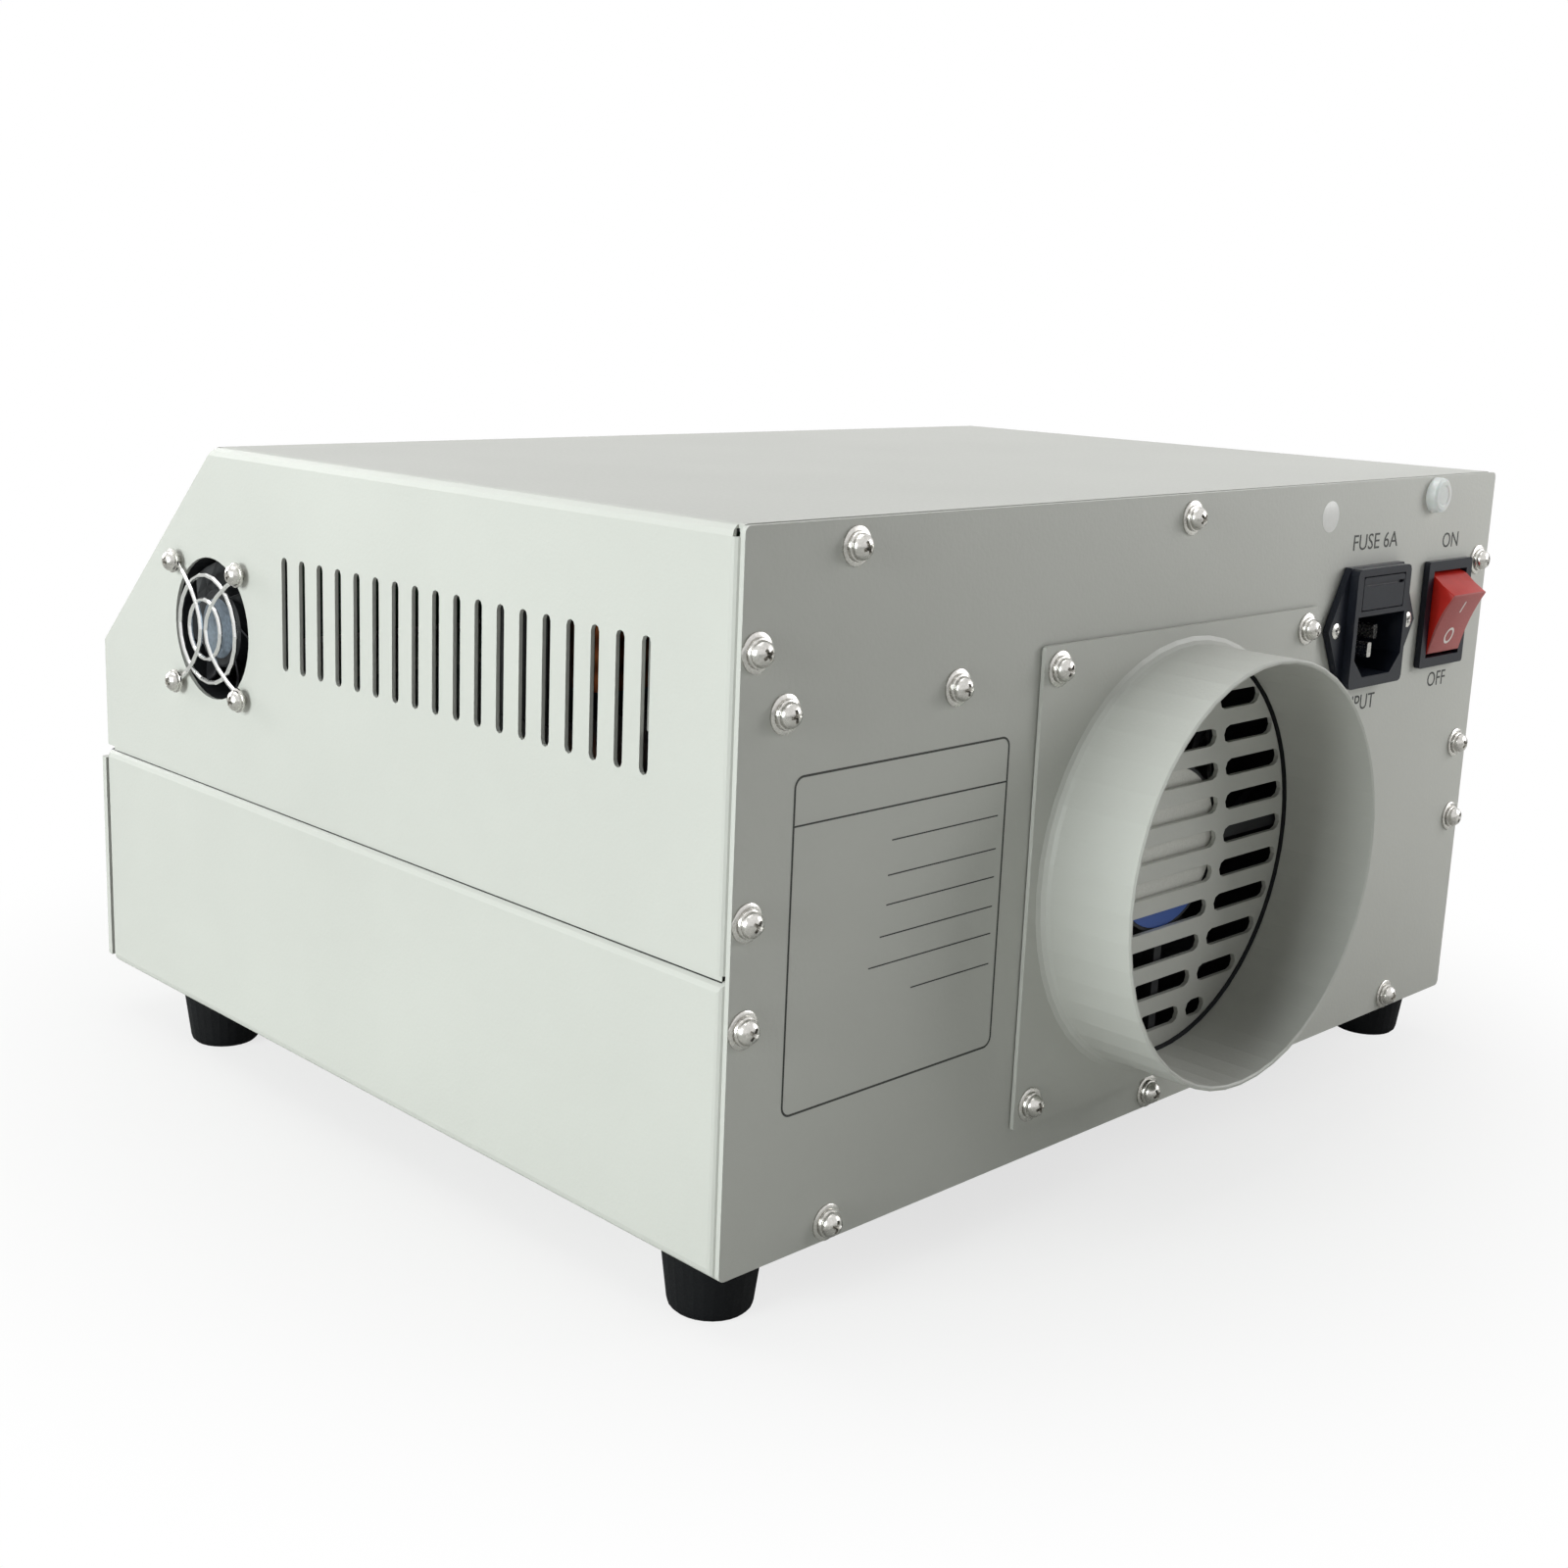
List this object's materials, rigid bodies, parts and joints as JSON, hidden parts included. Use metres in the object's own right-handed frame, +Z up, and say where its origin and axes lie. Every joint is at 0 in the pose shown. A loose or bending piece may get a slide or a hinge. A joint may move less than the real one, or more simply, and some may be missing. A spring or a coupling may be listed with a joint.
{
  "type": "infrared reflow oven",
  "caption": "Low sheet-metal benchtop reflow oven: sloped control panel, pull-out drawer with window, slotted side vents, rear exhaust duct, mains inlet and rocker switch.",
  "frame": {"origin": "on the bench under the middle of the oven, midway between the drawer handle and the duct's end", "axes": "+X to the oven's right seen from its front, +Y out of the rear panel along the duct, +Z up"},
  "size_m": [0.3069, 0.3162, 0.172],
  "materials": {
    "paint": "fine-textured light warm grey powder coat",
    "rubber": "matt black",
    "fan_plastic": "black glass-filled",
    "black_plastic": "black",
    "grey_plastic": "grey",
    "white_plastic": "white",
    "red_plastic": "translucent red",
    "chrome": "bright chrome plate",
    "nickel": "nickel plate",
    "zinc": "zinc-plated sheet",
    "core_steel": "varnished laminations",
    "stainless": "stainless sheet",
    "aluminised": "aluminised steel sheet",
    "polished": "polished",
    "copper": "enamelled copper wire",
    "quartz": "fused quartz tube",
    "clear_glass": "clear",
    "dark_glass": "grey tinted",
    "ceramic_wool": "needled ceramic fibre",
    "circuit_board": "green solder mask on fibreglass"
  },
  "bodies": {
    "case": {"base_tray": "paint", "top_cover": "paint", "rear_panel": "paint", "exhaust_duct": "paint", "control_panel": "paint", "foot_front_left": "rubber", "foot_front_right": "rubber", "foot_rear_left": "rubber", "foot_rear_right": "rubber", "exhaust_fan_frame": "fan_plastic", "side_fan_frame": "fan_plastic", "mains_inlet": "black_plastic", "switch_housing": "black_plastic", "display_module": "black_plastic", "solid_state_relay_1": "black_plastic", "solid_state_relay_2": "black_plastic", "terminal_block": "white_plastic", "side_fan_guard": "chrome", "inlet_pin_line": "nickel", "inlet_pin_neutral": "nickel", "inlet_pin_earth": "nickel", "fan_bracket": "zinc", "slide_channel_left": "zinc", "slide_channel_right": "zinc", "electronics_shelf": "zinc", "transformer_core": "core_steel", "lamp_holder_left": "stainless", "lamp_holder_right": "stainless", "temperature_probe": "stainless", "oven_chamber": "aluminised", "reflector": "polished", "transformer_winding": "copper", "heating_lamp_1": "quartz", "heating_lamp_2": "quartz", "heating_lamp_3": "quartz", "heating_lamp_4": "quartz", "screen_cover": "dark_glass", "insulation_blanket": "ceramic_wool", "controller_board": "circuit_board"},
    "drawer": {"drawer_front": "paint", "drawer_window": "dark_glass", "drawer_heat_shield": "stainless", "drawer_handle": "chrome", "drawer_tray": "stainless", "board_rack": "stainless", "slide_bar_left": "stainless", "slide_bar_right": "stainless"},
    "fuse_holder": {"fuse_drawer": "black_plastic", "fuse": "clear_glass"},
    "rocker": {"switch_rocker": "red_plastic"},
    "exhaust_rotor": {"exhaust_fan_rotor": "fan_plastic"},
    "side_rotor": {"side_fan_rotor": "fan_plastic"},
    "key_1_cap": {"key_1": "grey_plastic"},
    "key_2_cap": {"key_2": "grey_plastic"},
    "key_3_cap": {"key_3": "grey_plastic"},
    "key_4_cap": {"key_4": "grey_plastic"},
    "key_5_cap": {"key_5": "grey_plastic"}
  },
  "joints": [
    {"name": "drawer_slide", "type": "slide", "parent": "case", "child": "drawer", "axis": [0, -1, 0], "range_m": [0, 0.19]},
    {"name": "rocker_hinge", "type": "hinge", "parent": "case", "child": "rocker", "pos_m": [-0.1268, 0.1271, 0.1329], "axis": [1, 0, 0], "range_deg": [0, 30]},
    {"name": "exhaust_fan_spin", "type": "hinge", "parent": "case", "child": "exhaust_rotor", "pos_m": [-0.001, 0.118, 0.083], "axis": [0, 1, 0], "continuous": true},
    {"name": "side_fan_spin", "type": "hinge", "parent": "case", "child": "side_rotor", "pos_m": [0.1455, -0.0692, 0.1238], "axis": [1, 0, 0], "continuous": true},
    {"name": "fuse_drawer_slide", "type": "slide", "parent": "case", "child": "fuse_holder", "axis": [0, 1, 0], "range_m": [0, 0.015]},
    {"name": "key_1_press", "type": "slide", "parent": "case", "child": "key_1_cap", "axis": [0, 0.6844, -0.7291], "range_m": [0, 0.0008], "stiffness_N_per_m": 400},
    {"name": "key_2_press", "type": "slide", "parent": "case", "child": "key_2_cap", "axis": [0, 0.6844, -0.7291], "range_m": [0, 0.0008], "stiffness_N_per_m": 400},
    {"name": "key_3_press", "type": "slide", "parent": "case", "child": "key_3_cap", "axis": [0, 0.6844, -0.7291], "range_m": [0, 0.0008], "stiffness_N_per_m": 400},
    {"name": "key_4_press", "type": "slide", "parent": "case", "child": "key_4_cap", "axis": [0, 0.6844, -0.7291], "range_m": [0, 0.0008], "stiffness_N_per_m": 400},
    {"name": "key_5_press", "type": "slide", "parent": "case", "child": "key_5_cap", "axis": [0, 0.6844, -0.7291], "range_m": [0, 0.0008], "stiffness_N_per_m": 400}
  ]
}
